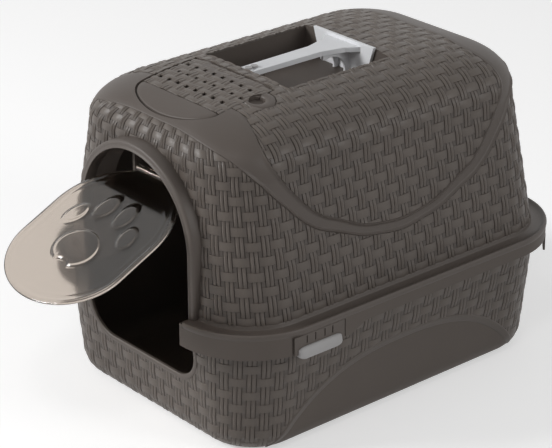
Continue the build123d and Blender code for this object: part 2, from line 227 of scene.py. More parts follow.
def clipSurface(surface, keep):
    # keeps what has keep > 0, cutting quads along the line, and returns the cut edges too
    quads, base, normal, cell = (surface[k] for k in ("quads", "base", "normal", "cell"))
    inside = keep[quads] > 0
    whole = quads[inside.all(1)]
    mixed = quads[inside.any(1) & ~inside.all(1)]
    extra, table, faces, rims = [], {}, [], []

    def cut(i, j):
        key = (min(i, j), max(i, j))
        if key not in table:
            f = keep[key[0]] / (keep[key[0]] - keep[key[1]])
            table[key] = len(base) + len(extra)
            extra.append((key[0], key[1], min(max(f, 0.0), 1.0)))
        return table[key]

    for q in mixed.tolist():
        ring, ends = [], []
        for i, j in zip(q, q[1:] + q[:1]):
            if keep[i] > 0:
                ring.append(i)
            if (keep[i] > 0) != (keep[j] > 0):
                c = cut(i, j)
                ring.append(c)
                ends.append((c, keep[i] > 0))
        if len(ring) > 2:
            faces.append(ring)
            if len(ends) == 2:
                a, b = ends if ends[0][1] else ends[::-1]
                rims.append((a[0], b[0]))
    if extra:
        lo, hi = np.array([e[0] for e in extra]), np.array([e[1] for e in extra])
        f = np.array([e[2] for e in extra])[:, None]
        base = np.concatenate([base, base[lo] * (1 - f) + base[hi] * f])
        normal = np.concatenate([normal, normal[lo] * (1 - f) + normal[hi] * f])
        cell = np.concatenate([cell, cell[lo] * (1 - f) + cell[hi] * f])
    return {"base": base, "normal": normal, "cell": cell,
            "faces": whole.tolist() + faces, "rims": rims}


def skinPiece(name, cutNet, height, sunk=0.7, sharp=32):
    # raises the clipped net by height and closes its cut edges down into the wall
    base, normal = cutNet["base"], cutNet["normal"]
    points = base + normal * height[:, None]
    faces = [list(f) for f in cutNet["faces"]]
    low = {}
    lowPoints = []
    for a, b in cutNet["rims"]:
        for v in (a, b):
            if v not in low:
                low[v] = len(points) + len(lowPoints)
                lowPoints.append(base[v] - normal[v] * sunk)
        faces.append([b, a, low[a], low[b]])
    if lowPoints:
        points = np.concatenate([points, np.array(lowPoints)])
    used = np.unique(np.concatenate([np.asarray(f) for f in faces]))
    remap = np.full(len(points), -1)
    remap[used] = np.arange(len(used))
    return meshPiece(name, points[used], [remap[f].tolist() for f in faces], sharp)


def intoScene(obj):
    bpy.context.scene.collection.objects.link(obj)
    return obj


def meshPiece(name, points, faces, sharp=32):
    mesh = bpy.data.meshes.new(name)
    mesh.from_pydata((np.asarray(points) * mm).tolist(), [], faces)
    mesh.validate()
    mesh.update()
    mesh.shade_smooth()
    mesh.set_sharp_from_angle(angle=math.radians(sharp))
    return intoScene(bpy.data.objects.new(name, mesh))


# A flat map of the hood: angle from straight up, seen from the middle of the cabin
mapCentre = np.array([0.0, 0.0, 215.0])
mapScale = 170.0  # millimetres on the shoulder for one step of the map


def toMap(p):
    d = p - mapCentre
    flat = np.hypot(d[..., 0], d[..., 1])
    angle = np.arctan2(flat, d[..., 2])
    k = angle / np.maximum(flat, 1e-9)
    return np.stack([d[..., 0] * k, d[..., 1] * k], -1)


def fromMap(m):
    angle = np.linalg.norm(m, axis=-1)
    k = np.sin(angle) / np.maximum(angle, 1e-9)
    ray = np.stack([m[..., 0] * k, m[..., 1] * k, np.cos(angle)], -1)
    low, high = (np.full(ray.shape[:-1], reach) for reach in (20.0, 330.0))
    reach = halve(low, high, lambda far: hoodDistance(mapCentre + ray * far[..., None]) < 0)
    return mapCentre + ray * reach[..., None]


def curveThrough(p, steps):
    # closed Catmull-Rom curve with the same number of steps between each two points
    out = []
    for i in range(len(p)):
        p0, p1, p2, p3 = p[i - 1], p[i], p[(i + 1) % len(p)], p[(i + 2) % len(p)]
        for f in np.linspace(0, 1, steps, endpoint=False):
            out.append(0.5 * (2 * p1 + (p2 - p0) * f + (2 * p0 - 5 * p1 + 4 * p2 - p3) * f ** 2
                              + (3 * p1 - p0 - 3 * p2 + p3) * f ** 3))
    return np.array(out)


def evenLoop(points, count):
    # the same curve at count even steps
    out = curveThrough(points, 12)
    loop = np.concatenate([out, out[:1]])
    run = runAlong(loop)
    at = np.linspace(0, run[-1], count, endpoint=False)
    return np.stack([np.interp(at, run, loop[:, k]) for k in range(loop.shape[1])], -1)


def loopDistance(m, loop):
    # signed distance in the map, positive inside the loop
    best = np.full(len(m), 1e9)
    inside = np.zeros(len(m), bool)
    for a, b in zip(loop, np.roll(loop, -1, 0)):
        e = b - a
        f = np.clip(((m - a) @ e) / max(e @ e, 1e-12), 0, 1)
        best = np.minimum(best, np.sum((m - a - f[:, None] * e) ** 2, 1))
        cross = (a[1] > m[:, 1]) != (b[1] > m[:, 1])
        with np.errstate(divide="ignore", invalid="ignore"):
            hit = m[:, 0] < (b[0] - a[0]) * (m[:, 1] - a[1]) / (b[1] - a[1]) + a[0]
        inside ^= cross & hit
    return np.where(inside, 1, -1) * np.sqrt(best)


# The smooth band: broad over both end shoulders, a narrow channel round each side panel
bandShape = {
    "inner": [(0, -160, 367), (50, -160, 365), (84, -158, 361), (107, -164, 353), (126, -168, 340),
              (138, -164, 322), (146, -145, 292), (151, -118, 264), (154, -91, 249), (157, -48, 231),
              (158, 0, 225)],
    "outer": [(0, -211, 347), (50, -211, 346), (79, -211, 343), (99, -208, 338), (119, -201, 330),
              (136, -188, 313), (148, -164, 284), (153, -132, 253), (156, -100, 236), (160, -51, 218),
              (161, 0, 211)],
    # heights of the lip at distances in from each edge, where the band is narrow and where it is broad
    "offsets": (-0.6, 0.0, 0.5, 1.3, 2.3, 3.2, 4.2),
    "narrowLip": (-0.8, 1.4, 2.3, 3.3, 2.0, 1.2, 0.4),
    "broadLip": (-0.8, 1.0, 1.7, 1.95, 2.0, 2.0, 2.2),
    "narrowBelow": 15.0, "broadOver": 40.0, "sunk": 1.2,
}


def fourQuarters(quarter):
    # mirrors a quarter of a loop into all four, in the map
    q = np.array(quarter, float)
    right = np.concatenate([q, (q * [1, -1, 1])[::-1][1:]])
    left = (right * [-1, 1, 1])[::-1][1:-1]
    return toMap(np.concatenate([right, left]))


def facesOut(net):
    # turns every quad to face the way its base normal does
    base, quads, normal = net["base"], net["quads"], net["normal"]
    across = np.cross(base[quads[:, 2]] - base[quads[:, 0]], base[quads[:, 3]] - base[quads[:, 1]])
    wrong = np.sum(across * normal[quads].mean(1), 1) < 0
    net["quads"] = np.where(wrong[:, None], quads[:, ::-1], quads)
    return net


def gridNet(points, normals, cell=None, closed=False):
    nu, nv = points.shape[:2]
    cell = np.zeros((nu, nv, 2)) if cell is None else cell
    return facesOut({"base": points.reshape(-1, 3), "normal": normals.reshape(-1, 3),
                     "cell": cell.reshape(-1, 2), "quads": quadsOf(nu, nv, 0, closed)})


def wovenNet(points, distance, columns, rows):
    cell = np.stack(np.meshgrid(columns, rows, indexing="ij"), -1)
    return gridNet(points, surfaceNormals(points, distance), cell)


def raisedNet(points, distance, heights, closed=False):
    # a net that carries its height over the surface in place of weave cells
    cell = np.stack([heights, np.zeros_like(heights)], -1)
    return gridNet(points, surfaceNormals(points, distance), cell, closed)


def raisedSkin(name, net, sunk, keep=None):
    cut = clipSurface(net, np.ones(len(net["base"])) if keep is None else keep)
    return skinPiece(name, cut, cut["cell"][:, 0], sunk, 50)


# Edges that the skins stop at, in millimetres: positive outside the feature
edgeShape = {
    "coverHalf": 66.0, "coverFront": -176.0, "coverBack": -100.0, "coverNose": 29.0,
    "recessHalf": 69.0, "recessFront": -85.0, "recessBack": 62.0,
    "archCentre": 226.0, "archRadius": 92.0,
    "notchX": 70.0, "notchY": -128.0, "notchShift": 3.0, "notchRing": 17.0,
    # gaps that the hood's weave leaves, and the level of its lowest points
    "coverGap": 0.8, "recessGap": 0.9, "archGap": 8.4, "weaveFoot": 159.0,
}
frontOnly, farAway = -150.0, 50.0  # behind this y the entrance's edges play no part


def coverEdge(p, grow):
    e = edgeShape
    half, nose = e["coverHalf"] + grow, e["coverNose"] + grow
    x, y = np.abs(p[:, 0]), p[:, 1]
    flat = np.maximum(x - half, y - e["coverBack"] - grow)
    noseEdge = (np.hypot(x / half, (y - e["coverFront"]) / nose) - 1) * nose
    return np.where(y < e["coverFront"], noseEdge, flat)


def recessEdge(p, grow):
    e = edgeShape
    middle, half = (e["recessFront"] + e["recessBack"]) / 2, (e["recessBack"] - e["recessFront"]) / 2
    return np.maximum(np.abs(p[:, 0]) - e["recessHalf"], np.abs(p[:, 1] - middle) - half) - grow


def archEdge(p, grow):
    e = edgeShape
    x, z, r = np.abs(p[:, 0]), p[:, 2], e["archRadius"] + grow
    d = np.where(z > e["archCentre"], np.hypot(x, z - e["archCentre"]) - r, x - r)
    return np.where(p[:, 1] < frontOnly, d, farAway)


def notchEdge(p, radius):
    e = edgeShape
    x, y = p[:, 0] - e["notchX"] - e["notchShift"], p[:, 1] - e["notchY"] - e["notchShift"]
    return np.hypot(x, y) - radius


def onRoof(x, y):
    # height of the hood's outside over a point in plan
    low, high = (np.full(np.shape(x), z) for z in (300.0, hoodShape["roofZ"]))
    return halve(low, high, lambda z: hoodDistance(np.stack([x, y, z], -1)) < 0)


def wovenSkin(name, net, keep, distance, relief, sunk=0.7):
    cut = clipSurface(net, keep)
    obj = skinPiece(name, cut, weaveHeight(*cut["cell"].T, relief), sunk)
    # how high each point stands in the relief, which the material turns into painted shade low down and
    # painted light up high
    co = np.zeros(len(obj.data.vertices) * 3, np.float32)
    obj.data.vertices.foreach_get("co", co)
    lift = distance(co.reshape(-1, 3).astype(float) / mm) / (weaveShape["ground"] + relief)
    layer = obj.data.attributes.new("lift", "FLOAT", "POINT")
    layer.data.foreach_set("value", np.clip(lift, 0, 1).astype(np.float32))
    return obj


innerLoop = evenLoop(fourQuarters(bandShape["inner"]), 360)
outerLoop = evenLoop(fourQuarters(bandShape["outer"]), 360)
hoodNets = buildHoodSurface()


def makeHoodWeave(name, hoodNet):
    e = edgeShape
    base = hoodNet["base"]
    m = toMap(base)
    offBand = np.maximum(loopDistance(m, innerLoop), -loopDistance(m, outerLoop)) * mapScale
    keep = np.minimum.reduce([offBand, coverEdge(base, e["coverGap"]), recessEdge(base, e["recessGap"]),
                              archEdge(base, e["archGap"]), notchEdge(base, e["notchRing"]),
                              base[:, 2] - e["weaveFoot"]])
    return wovenSkin(name, hoodNet, keep, hoodDistance, weaveShape["relief"])


def makeHoodBand():
    inner, outer = (curveThrough(fourQuarters(bandShape[k]), 16) for k in ("inner", "outer"))
    b = bandShape
    width = np.linalg.norm(fromMap(inner) - fromMap(outer), axis=1)
    broad = np.clip((width - b["narrowBelow"]) / (b["broadOver"] - b["narrowBelow"]), 0, 1)
    broad = broad * broad * (3 - 2 * broad)
    lip = [(o / width, low * (1 - broad) + high * broad)
           for o, low, high in zip(b["offsets"], b["narrowLip"], b["broadLip"])]
    edge, floorHeight = b["offsets"][-1], lip[-1][1]
    middle = [((edge + u * (width - 2 * edge)) / width, floorHeight) for u in np.linspace(0, 1, 12)[1:-1]]
    across = lip + middle + [(1 - share, height) for share, height in lip[::-1]]
    u = np.stack([share for share, _ in across], 1)[..., None]
    points = fromMap(inner[:, None] * (1 - u) + outer[:, None] * u)
    net = raisedNet(points, hoodDistance, np.stack([height for _, height in across], 1), closed=True)
    return raisedSkin("hoodBand", net, b["sunk"], coverEdge(net["base"], 0.7))


def outline(a, b, r, straight, arc):
    # rounded rectangle as a closed loop, starting where the front's straight run does
    sweep = np.linspace(0, math.pi / 2, arc, endpoint=False)
    corners = []
    for k, (sx, sy) in enumerate([(1, -1), (1, 1), (-1, 1), (-1, -1)]):
        start = -math.pi / 2 + k * math.pi / 2
        cx, cy = sx * (a - r), sy * (b - r)
        corners.append(np.stack([cx + r * np.cos(start + sweep), cy + r * np.sin(start + sweep)], -1))
    out = []
    ends = [(a - r, -b), (a, b - r), (r - a, b), (-a, r - b)]
    starts = [(r - a, -b), (a, r - b), (a - r, b), (-a, b - r)]
    for k in range(4):
        f = np.linspace(0, 1, straight, endpoint=False)[:, None]
        out.append(np.array(starts[k]) * (1 - f) + np.array(ends[k]) * f)
        out.append(corners[k])
    return np.concatenate(out)


# The ledge and its rolled rim
rimShape = {
    "wallFoot": (171.5, 234.0, 70.0), "rim": (192.5, 255.0, 95.0), "collarGap": 6.0, "sunk": 1.4,
    "collarBack": -190.0,
    # share of the way from the hood's wall to the rim's edge, and height
    "profile": [(-0.09, 160.4), (0.035, 160.0), (0.075, 159.0), (0.085, 157.3), (0.13, 156.0),
                (0.24, 155.35), (0.45, 155.2), (0.64, 155.5), (0.78, 156.5), (0.87, 157.9), (0.94, 158.5),
                (1.0, 158.1), (1.035, 156.8), (1.045, 155.0), (1.035, 153.2), (1.01, 152.0), (0.99, 151.2)],
}


def makeHoodRim():
    foot, edge = outline(*rimShape["wallFoot"], 90, 40), outline(*rimShape["rim"], 90, 40)
    points = np.zeros((len(foot), len(rimShape["profile"]), 3))
    for j, (share, z) in enumerate(rimShape["profile"]):
        points[:, j, :2] = foot * (1 - share) + edge * share
        points[:, j, 2] = z
    hub = points.mean(1, keepdims=True) - [0, 0, 6]
    net = gridNet(points, points - hub, closed=True)
    net["normal"] = np.tile([0.0, 0.0, 1.0], (len(net["base"]), 1))
    p = net["base"]
    offCollar = np.abs(p[:, 0]) - edgeShape["archRadius"] - rimShape["collarGap"]
    cut = clipSurface(net, np.where(p[:, 1] < rimShape["collarBack"], offCollar, farAway))
    return skinPiece("hoodRim", cut, np.zeros(len(cut["base"])), rimShape["sunk"], 60)


# Rounded front edge of the entrance collar
collarShape = {
    "middle": 96.0, "foot": 152.6,
    # distance out from the middle of the collar's width, and y
    "profile": [(4.6, -219), (4.6, -238.2), (4.1, -240.2), (2.9, -241.3), (0.5, -241.5), (-1.9, -241.3),
                (-2.5, -241.9), (-3.3, -242.4), (-4.2, -242.2), (-4.6, -241.2), (-4.6, -228), (-3.9, -227.4)],
}


def makeCollarTrim():
    c, centre = collarShape, edgeShape["archCentre"]
    sweep = np.linspace(0, math.pi, 120)
    legs = np.linspace(c["foot"], centre, 24, endpoint=False)
    points = []
    for out, y in c["profile"]:
        r = c["middle"] + out
        arc = np.stack([r * np.cos(sweep), np.full(120, y), centre + r * np.sin(sweep)], -1)
        right = np.stack([np.full(24, r), np.full(24, y), legs], -1)
        points.append(np.concatenate([right, arc, (right * [-1, 1, 1])[::-1]]))
    points = np.stack(points, 1)
    net = gridNet(points, points - points.mean(1, keepdims=True))
    return meshPiece("collarTrim", net["base"], net["quads"].tolist(), 50)


# Raised ring round the finger notch beside the lid: radius and height of each line
ringShape = {
    "radii": (9.2, 9.9, 11.0, 12.5, 14.0, 15.4, 16.6, 17.4),
    "rise": (-0.8, 1.4, 2.1, 2.3, 2.3, 2.1, 1.4, -0.6), "turns": 96, "sunk": 0.8,
}


def makeNotchRing():
    e, r = edgeShape, ringShape
    turn = np.linspace(0, 2 * math.pi, r["turns"], endpoint=False)[:, None]
    radii = np.array(r["radii"])
    shift = e["notchShift"] * (radii - radii[0]) / (radii[-1] - radii[0])
    x, y = e["notchX"] + shift + np.cos(turn) * radii, e["notchY"] + shift + np.sin(turn) * radii
    points, heights = np.stack([x, y, onRoof(x, y)], -1), np.tile(r["rise"], (r["turns"], 1))
    net = raisedNet(points, hoodDistance, heights, closed=True)
    return raisedSkin("notchRing", net, r["sunk"], coverEdge(net["base"], e["coverGap"]))


# Filter cover: a woven grille with square holes behind a plain half-round nose
coverShape = {
    "step": 0.9, "netHalf": 65.4, "netFront": -174.8, "netBack": -100.3,
    "grilleHalf": 65.2, "grilleFront": -174.4, "grilleBack": -100.8, "notchGap": 12.4, "sunk": 1.6,
    "columnPitch": 15.0, "firstColumn": -67.5, "rowPitch": 9.5, "firstRow": -176.0, "relief": 1.5,
    "holes": 8, "holeRows": (-157.0, -138.0, -119.0), "hole": 5.0, "shift": 3.75,
    # nose: inset from the lid's edge, then share of the way out and height of each line
    "inset": 0.9, "rings": (0.02, 0.3, 0.55, 0.75, 0.88, 0.95, 0.975, 0.99),
    "rise": (1.8, 1.85, 1.9, 1.9, 1.9, 1.8, 1.4, -0.2), "turns": 120,
}


def makeCoverWeave():
    c = coverShape
    x = np.arange(-c["netHalf"], c["netHalf"] + 0.01, c["step"])
    y = np.arange(c["netFront"], c["netBack"], c["step"])
    gx, gy = np.meshgrid(x, y, indexing="ij")
    points = np.stack([gx, gy, onRoof(gx, gy)], -1)
    cell = np.stack([(gx - c["firstColumn"]) / c["columnPitch"], (gy - c["firstRow"]) / c["rowPitch"]], -1)
    net = gridNet(points, surfaceNormals(points, hoodDistance), cell)
    p = net["base"]
    keep = np.minimum.reduce([c["grilleHalf"] - np.abs(p[:, 0]), c["grilleBack"] - p[:, 1],
                              p[:, 1] - c["grilleFront"], notchEdge(p, c["notchGap"])])
    for k, rowY in enumerate(c["holeRows"]):
        along = p[:, 0] - (c["shift"] if k % 2 else -c["shift"])
        column = np.round(along / c["columnPitch"] - 0.5).clip(-c["holes"] / 2, c["holes"] / 2 - 1) + 0.5
        hole = np.maximum(np.abs(along - column * c["columnPitch"]), np.abs(p[:, 1] - rowY))
        keep = np.minimum(keep, hole - c["hole"] / 2)
    return wovenSkin("coverWeave", net, keep, hoodDistance, c["relief"], c["sunk"])


def makeCoverNose():
    c, e = coverShape, edgeShape
    turn = np.linspace(math.pi, 2 * math.pi, c["turns"])[:, None]
    x = np.cos(turn) * (e["coverHalf"] - c["inset"]) * c["rings"]
    y = e["coverFront"] + np.sin(turn) * (e["coverNose"] - c["inset"]) * c["rings"] - 0.2
    net = raisedNet(np.stack([x, y, onRoof(x, y)], -1), hoodDistance, np.tile(c["rise"], (c["turns"], 1)))
    return raisedSkin("coverNose", net, 0.8)


# Tray: the same weave round a tapered tub, with a plain arched panel low on each long side
trayShape = {
    "halfWidth": 177.5, "halfLength": 240.0, "lean": 16.0, "radius": 78.0, "footRadius": 60.0,
    "height": 152.5, "fillet": 25.0, "columns": 100, "rowPitch": 16.3, "relief": 1.6, "sunk": 0.8,
    "panelHeight": 84.0, "panelHalf": 178.0, "panelBorder": 7.0, "top": 150.0, "foot": 5.0,
    "panelLean": 0.82, "sideOnly": 120.0,
    "dipHalf": 92.0, "dipBottom": 74.0, "dipCorner": 36.0, "dipLip": 5.0,
    # strip over the panel and lip round the dip: distance out and height of each line
    "border": [(-0.8, -0.8), (0.0, 0.5), (1.2, 0.8), (4.5, 1.5), (6.2, 2.0), (7.4, 2.1), (8.4, 1.6),
               (9.2, -0.6)],
    "lip": [(-0.8, -2.2), (-0.9, 0.6), (-0.3, 1.4), (1.0, 1.8), (3.4, 1.8), (4.7, 1.5), (5.6, -0.5)],
}


def trayHalf(z):
    t = trayShape
    share = 1 - np.asarray(z, float) / t["height"]
    below = np.clip(t["fillet"] - z, 0, t["fillet"])
    inset = t["fillet"] - np.sqrt(np.maximum(t["fillet"] ** 2 - below ** 2, 0)) + share * t["lean"]
    return t["halfWidth"] - inset, t["halfLength"] - inset, \
        t["radius"] - (t["radius"] - t["footRadius"]) * share - (inset - share * t["lean"])


def trayDistance(p):
    return roundedDistance(p[..., 0], p[..., 1], *trayHalf(p[..., 2]))


def trayLevels():
    # the weave's row lines, at even steps up the wall and round the foot, and their heights
    t = trayShape
    z = np.linspace(t["foot"], t["top"], 400)
    run = runAlong(np.stack([trayHalf(z)[0], z], -1))
    rows = int(run[-1] / t["rowPitch"])
    lines = cellLines(rows, rowLines)
    return lines, np.interp(lines * run[-1] / rows, run, z)


def panelTop(y):
    # height of the arched panel
    share = np.clip(np.abs(y) / trayShape["panelHalf"], 0, 1)
    return trayShape["panelHeight"] * (1 - share ** 2.5) ** 0.75


def trayPanelEdge(p):
    # positive outside the arched panel
    t = trayShape
    rise = (p[:, 2] - panelTop(p[:, 1])) * t["panelLean"]
    side = np.abs(p[:, 1]) - t["panelHalf"]
    return np.where(np.abs(p[:, 0]) > t["sideOnly"], np.maximum(rise, side), farAway)


def dipEdge(p, grow):
    t = trayShape
    half, r = t["dipHalf"] + grow, t["dipCorner"] + grow
    qx = np.abs(p[:, 0]) - (half - r)
    qz = (t["dipBottom"] - grow + r) - p[:, 2]
    d = np.hypot(np.maximum(qx, 0), np.maximum(qz, 0)) + np.minimum(np.maximum(qx, qz), 0) - r
    return np.where(p[:, 1] < frontOnly, d, farAway)


def trayRing(levels, count):
    # points at count even columns round the tray, at each level
    out = np.zeros((len(count), len(levels), 3))
    for j, z in enumerate(levels):
        loop = outline(*[float(v) for v in trayHalf(z)], 60, 60)
        loop = np.concatenate([loop, loop[:1]])
        run = runAlong(loop)
        at = run[-1] * count
        out[:, j, 0], out[:, j, 1] = np.interp(at, run, loop[:, 0]), np.interp(at, run, loop[:, 1])
        out[:, j, 2] = z
    return out


def makeTrayWeave():
    t = trayShape
    around = cellLines(t["columns"], columnLines)
    rows, levels = trayLevels()
    net = wovenNet(trayRing(levels, around / t["columns"]), trayDistance, around, rows)
    p = net["base"]
    keep = np.minimum(trayPanelEdge(p) - t["panelBorder"], dipEdge(p, t["dipLip"]))
    return wovenSkin("trayWeave", net, keep, trayDistance, t["relief"], t["sunk"])


def makeTrayBorder(side):
    # sloped strip that follows the top of the arched panel
    t = trayShape
    y = np.linspace(-t["panelHalf"] + 0.5, t["panelHalf"] - 0.5, 220)
    top = panelTop(y)
    slope = np.gradient(top, y)
    away = np.stack([-slope, np.ones_like(slope)], -1) / np.hypot(slope, 1)[:, None]
    points = []
    for off, _ in t["border"]:
        py, pz = y + away[:, 0] * off, np.clip(top + away[:, 1] * off, 1.0, 150)
        points.append(np.stack([side * sideAt(py, *trayHalf(pz)), py, pz], -1))
    heights = np.tile([height for _, height in t["border"]], (len(y), 1))
    net = raisedNet(np.stack(points, 1), trayDistance, heights)
    name = "trayBorderRight" if side > 0 else "trayBorderLeft"
    return raisedSkin(name, net, t["sunk"], net["base"][:, 2] - 3.0)


def makeDipLip():
    # smooth lip round the dip under the entrance
    t = trayShape
    half, r, low = t["dipHalf"], t["dipCorner"], t["dipBottom"]
    sweep = np.linspace(0, math.pi / 2, 30)
    points = []
    for off, _ in t["lip"]:
        right = np.stack([np.full(20, half + off), np.linspace(149.5, low + r, 20, endpoint=False)], -1)
        corner = np.stack([half - r + (r + off) * np.cos(sweep), low + r - (r + off) * np.sin(sweep)], -1)
        flat = np.stack([np.linspace(half - r, 0, 30)[1:], np.full(29, low - off)], -1)
        path = np.concatenate([right, corner, flat])
        path = np.concatenate([path, (path * [-1, 1])[::-1][1:]])
        x, z = path.T
        a, b, cornerRadius = trayHalf(z)
        points.append(np.stack([x, -sideAt(x, b, a, cornerRadius), z], -1))
    heights = np.tile([height for _, height in t["lip"]], (len(path), 1))
    return raisedSkin("dipLip", raisedNet(np.stack(points, 1), trayDistance, heights), t["sunk"])


# Flap: smoky clear panel with a raised edge and a paw in relief, swung out with its body
flapShape = {
    "axisY": -208.0, "axisZ": 280.0, "length": 198.0, "half": 87.0, "tip": 68.0, "shoulder": 80.0,
    "middle": 108.0, "thickness": 2.5, "open": 64.5, "rings": 110, "turns": 340, "paw": 1.5,
    # height, distance in from the edge and width of each ridge round the panel
    "ridges": [(0.9, 5.0, 2.2), (0.35, 13.0, 2.6)], "edgeRound": 1.4,
    "barrel": 4.0, "barrelHalf": 34.0, "bore": 1.6,
    # paw in the panel's own plane: across, down from the axis, half sizes, tilt in degrees
    "toes": [(-44, 84, 13, 19, 24), (-16, 62, 14, 21, 8), (17, 62, 14, 21, -8), (45, 84, 13, 19, -24)],
    "pad": (0, 121, 33, 27, 0), "padNotch": (0, 151, 15, 12, 0),
}


def oval(u, v, cx, cv, a, b, tilt):
    turn = math.radians(tilt)
    du, dv = u - cx, v - cv
    x = du * math.cos(turn) + dv * math.sin(turn)
    y = -du * math.sin(turn) + dv * math.cos(turn)
    return (1 - np.hypot(x / a, y / b)) * min(a, b)


def flapOutline(turn):
    # distance from the panel's middle to its edge, by direction
    f = flapShape

    def inside(r):
        u, v = np.abs(r * np.cos(turn)), f["middle"] + r * np.sin(turn)
        top = np.hypot(u / f["half"], (v - f["shoulder"]) / f["shoulder"]) < 1
        tip = np.hypot(u / f["half"], (v - f["length"] + f["tip"]) / f["tip"]) < 1
        body = (u < f["half"]) & (v > f["shoulder"]) & (v < f["length"] - f["tip"])
        neck = (u < f["barrelHalf"] - 4) & (v > 3) & (v < f["shoulder"])
        return top | tip | body | neck

    return halve(np.zeros_like(turn), np.full_like(turn, 140.0), inside)


def pawRelief(u, v):
    f = flapShape
    best = np.minimum(oval(u, v, *f["pad"]), 2 - oval(u, v, *f["padNotch"]))
    for toe in f["toes"]:
        best = np.maximum(best, oval(u, v, *toe))
    rise = np.clip(best / 4.5, 0, 1)
    dome = np.clip(best / 14, 0, 1)
    return f["paw"] * (rise * rise * (3 - 2 * rise)) + 0.7 * np.sqrt(dome)


def closedSheet(top, under, quads, rim):
    # two sheets of the same net, joined round the rim
    n = top.size // 3
    faces = quads.tolist() + (quads[:, ::-1] + n).tolist()
    faces += [[b, a, a + n, b + n] for a, b in zip(rim, rim[1:] + rim[:1])]
    return np.concatenate([top.reshape(-1, 3), under.reshape(-1, 3)]), faces


def facedOut(obj):
    # welds doubled points and turns every face outwards
    work = bmesh.new()
    work.from_mesh(obj.data)
    bmesh.ops.remove_doubles(work, verts=work.verts, dist=0.00002)
    bmesh.ops.recalc_face_normals(work, faces=work.faces)
    work.to_mesh(obj.data)
    work.free()
    return obj


def makeFlap():
    f = flapShape
    turn = np.linspace(0, 2 * math.pi, f["turns"], endpoint=False)
    reach = flapOutline(turn)[:, None]
    share = (np.linspace(0, 1, f["rings"]) ** 0.9)[None]
    u = np.cos(turn)[:, None] * reach * share
    v = f["middle"] + np.sin(turn)[:, None] * reach * share
    toEdge = reach * (1 - share)
    ridge = sum(high * np.exp(-((toEdge - at) / wide) ** 2) for high, at, wide in f["ridges"])
    rounding = np.clip(1 - toEdge / f["edgeRound"], 0, 1) ** 2 * 0.9
    paw = pawRelief(u, v) * np.clip(toEdge / 12, 0, 1)
    front = f["thickness"] / 2 + ridge + paw - rounding
    back = -f["thickness"] / 2 + rounding + 0.75 * paw

    def place(u, v, w):
        # the closed panel hangs from the axis; then it is swung out
        swing = math.radians(f["open"])
        y, z = -w, -v
        return np.stack([u, f["axisY"] + y * math.cos(swing) + z * math.sin(swing),
                         f["axisZ"] - y * math.sin(swing) + z * math.cos(swing)], -1)

    top, under = place(u, v, front), place(u, v, back)
    rim = [i * f["rings"] + f["rings"] - 1 for i in range(f["turns"])]
    points, faces = closedSheet(top, under, quadsOf(f["turns"], f["rings"], 0, True), rim)
    # barrel round the rod
    ring = np.linspace(0, 2 * math.pi, 40, endpoint=False)
    stations = [(-1.0, f["bore"]), (-1.0, 3.4), (-0.985, f["barrel"]),
                (0.985, f["barrel"]), (1.0, 3.4), (1.0, f["bore"])]
    tube = np.zeros((40, len(stations), 3))
    for j, (s, r) in enumerate(stations):
        tube[:, j] = np.stack([np.full(40, s * f["barrelHalf"]), f["axisY"] + r * np.cos(ring),
                               f["axisZ"] + r * np.sin(ring)], -1)
    faces += quadsOf(40, len(stations), len(points), True).tolist()
    points = np.concatenate([points, tube.reshape(-1, 3)])
    return facedOut(meshPiece("flapPanel", points, faces, 40))


# Latch lips: light grips wrapped round the foot of each tab, rounded off at both ends
lipShape = {
    "centreY": -146.0, "halfLength": 30.0, "endRound": 9.0, "tabFace": 192.5, "tabFoot": 129.0,
    "section": [(192.5, 129), (192.5, 137), (193.6, 137.1), (194.9, 136.3), (196.6, 133.4), (197.8, 130),
                (198.0, 127.4), (197.4, 125.2), (196.0, 123.9), (193.5, 123.5), (189.5, 123.8),
                (187.6, 124.4), (187, 125.6), (187, 141.2), (184.3, 143.9), (184, 144.6), (184, 146.6),
                (184.6, 147.4), (190, 148.7), (190, 129)],
}


def makeLatchLip(side):
    s = lipShape
    run = s["halfLength"] * np.sin(np.linspace(-math.pi / 2, math.pi / 2, 61))
    toEnd = np.clip((np.abs(run) - s["halfLength"] + s["endRound"]) / s["endRound"], 0, 1)
    full = np.sqrt(1 - toEnd ** 2)[:, None]  # 1 along the lip, 0 at its ends
    x, z = (np.tile(column, (len(run), 1)) for column in np.array(s["section"], float).T)
    outX, upZ = x - s["tabFace"], z - s["tabFoot"]
    above = np.where((outX >= 0) & (upZ > 0), 0.55 + 0.45 * full, 1.0)
    z = s["tabFoot"] + upZ * np.where(upZ < 0, 0.2 + 0.8 * full, above)
    x = s["tabFace"] + outX * np.where(outX >= 0, 0.25 + 0.75 * full, 1.0)
    y = np.repeat((s["centreY"] + run)[:, None], x.shape[1], 1)
    count, n = x.shape
    faces = [[i * n + j, i * n + (j + 1) % n, (i + 1) * n + (j + 1) % n, (i + 1) * n + j]
             for i in range(count - 1) for j in range(n)]
    faces += [list(range(n)), [(count - 1) * n + j for j in range(n)][::-1]]
    name = "latchLipRight" if side > 0 else "latchLipLeft"
    return facedOut(meshPiece(name, np.stack([side * x, y, z], -1).reshape(-1, 3), faces, 42))


# Charcoal pad: needled foam, slack at its corners, under the grille
padShape = {
    "half": (58.4, 30.4), "centreY": -138.0, "bottom": 345.15, "thickness": 10.6, "edge": 1.6,
    "nx": 90, "ny": 48,
}


